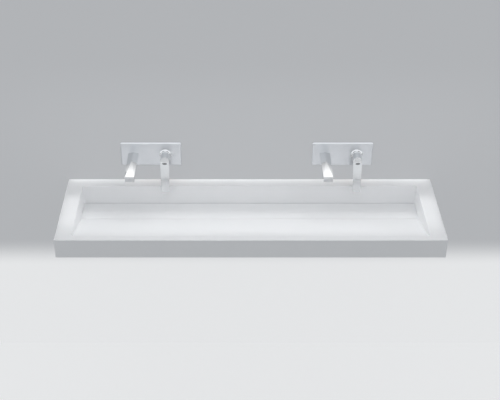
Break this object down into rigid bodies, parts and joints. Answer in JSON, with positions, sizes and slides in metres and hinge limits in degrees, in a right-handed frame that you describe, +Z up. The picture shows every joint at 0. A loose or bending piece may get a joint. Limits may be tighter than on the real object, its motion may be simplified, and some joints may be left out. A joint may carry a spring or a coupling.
{
  "type": "trough sink",
  "caption": "Wall-hung trough sink: shallow bowl with a ramp floor, slot drain under a lift-out cover, wall-mounted lever taps, in-wall carrier and bottle trap.",
  "frame": {"origin": "on the finished wall, in the middle of the four wall bolts, 155 mm under the rim", "axes": "+X along the wall to the user's right, +Y into the wall, +Z up; the user stands at -Y"},
  "size_m": [1.4, 0.47, 0.449],
  "materials": {
    "solid_surface": "satin cast mineral composite",
    "coated_steel": "powder coated",
    "galvanised_steel": "hot-dip galvanised",
    "zinc_steel": "zinc plated",
    "stainless_steel": "turned",
    "chrome": "polished chrome plate",
    "satin_chrome": "satin chrome plate",
    "brass": "forged and machined",
    "copper": "drawn copper tube",
    "rubber": "moulded",
    "white_plastic": "moulded acetal",
    "black_plastic": "moulded polyamide"
  },
  "bodies": {
    "root": {"trough": "solid_surface", "left_bracket": "coated_steel", "right_bracket": "coated_steel", "bracket_pads": "rubber", "trough_bolts": "zinc_steel", "spacer_sleeves": "zinc_steel", "left_upright": "galvanised_steel", "right_upright": "galvanised_steel", "mixer_rail": "galvanised_steel", "pipe_rail": "galvanised_steel", "rail_bolts": "zinc_steel", "waste_fitting": "chrome", "waste_top_seal": "rubber", "waste_back_seal": "rubber", "waste_nut": "chrome", "trap_inlet_nut": "chrome", "trap_inlet_pipe": "chrome", "trap_bottle": "chrome", "trap_cup": "chrome", "trap_seals": "rubber", "trap_outlet_nut": "chrome", "trap_outlet_pipe": "chrome", "wall_rosette": "chrome", "body_screws": "zinc_steel", "inlet_nuts": "brass", "pipe_clips": "black_plastic", "supply_tails": "brass", "left_tap_plate": "satin_chrome", "left_plate_seal": "rubber", "left_spout": "chrome", "left_spout_nipple": "brass", "left_aerator": "chrome", "left_lever_ring": "chrome", "left_cartridge": "white_plastic", "left_valve_body": "brass", "left_supply_pipes": "copper", "right_tap_plate": "satin_chrome", "right_plate_seal": "rubber", "right_spout": "chrome", "right_spout_nipple": "brass", "right_aerator": "chrome", "right_lever_ring": "chrome", "right_cartridge": "white_plastic", "right_valve_body": "brass", "right_supply_pipes": "copper"},
    "drain_cover": {"drain_cover": "solid_surface"},
    "left_swivel": {"left_turn_dome": "chrome", "left_turn_carrier": "white_plastic", "left_pivot_pin": "stainless_steel"},
    "left_lever": {"left_lever_stem": "stainless_steel", "left_lever_handle": "chrome", "left_grub_screw": "zinc_steel"},
    "right_swivel": {"right_turn_dome": "chrome", "right_turn_carrier": "white_plastic", "right_pivot_pin": "stainless_steel"},
    "right_lever": {"right_lever_stem": "stainless_steel", "right_lever_handle": "chrome", "right_grub_screw": "zinc_steel"}
  },
  "joints": [
    {"name": "cover_lift", "type": "slide", "parent": "root", "child": "drain_cover", "axis": [0, 0, 1], "range_m": [0, 0.06]},
    {"name": "left_temperature", "type": "hinge", "parent": "root", "child": "left_swivel", "pos_m": [-0.321, 0, 0.272], "axis": [0, 1, 0], "range_deg": [-50, 50]},
    {"name": "left_flow", "type": "hinge", "parent": "left_swivel", "child": "left_lever", "pos_m": [-0.321, -0.003, 0.272], "axis": [-1, 0, 0], "range_deg": [0, 22]},
    {"name": "right_temperature", "type": "hinge", "parent": "root", "child": "right_swivel", "pos_m": [0.406, 0, 0.272], "axis": [0, 1, 0], "range_deg": [-50, 50]},
    {"name": "right_flow", "type": "hinge", "parent": "right_swivel", "child": "right_lever", "pos_m": [0.406, -0.003, 0.272], "axis": [-1, 0, 0], "range_deg": [0, 22]}
  ]
}
